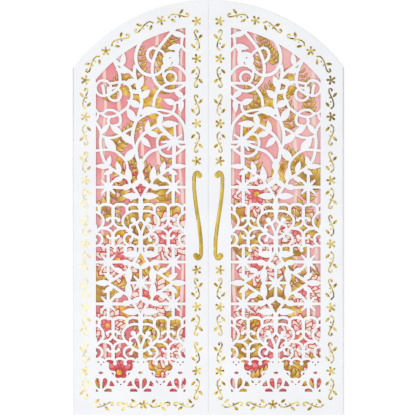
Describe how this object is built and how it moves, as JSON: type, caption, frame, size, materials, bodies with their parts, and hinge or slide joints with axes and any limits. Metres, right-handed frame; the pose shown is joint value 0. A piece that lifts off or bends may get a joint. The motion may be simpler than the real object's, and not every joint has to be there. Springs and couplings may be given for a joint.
{
  "type": "gatefold birthday card",
  "caption": "Closed gatefold greeting card shaped as an arched garden gate, with lattice-cut doors, gold foil borders and handles, and a pink printed lining behind.",
  "frame": {"origin": "on the underside of the back panel, under the middle of the card's width and height", "axes": "+X to the viewer's right across the doors, +Y towards the crown of the arch, +Z out of the front, up from the table"},
  "size_m": [0.14, 0.214, 0.0018],
  "materials": {
    "white_card": "smooth matt white card",
    "pink_lining": "matt printed paper",
    "gold_foil": "gold hot-stamped foil, satin"
  },
  "bodies": {
    "root": {"card_sheet": "white_card", "lining": "pink_lining", "left_border_foil": "gold_foil", "right_border_foil": "gold_foil", "left_handle_foil": "gold_foil", "right_handle_foil": "gold_foil", "lining_foil": "gold_foil"}
  },
  "joints": []
}
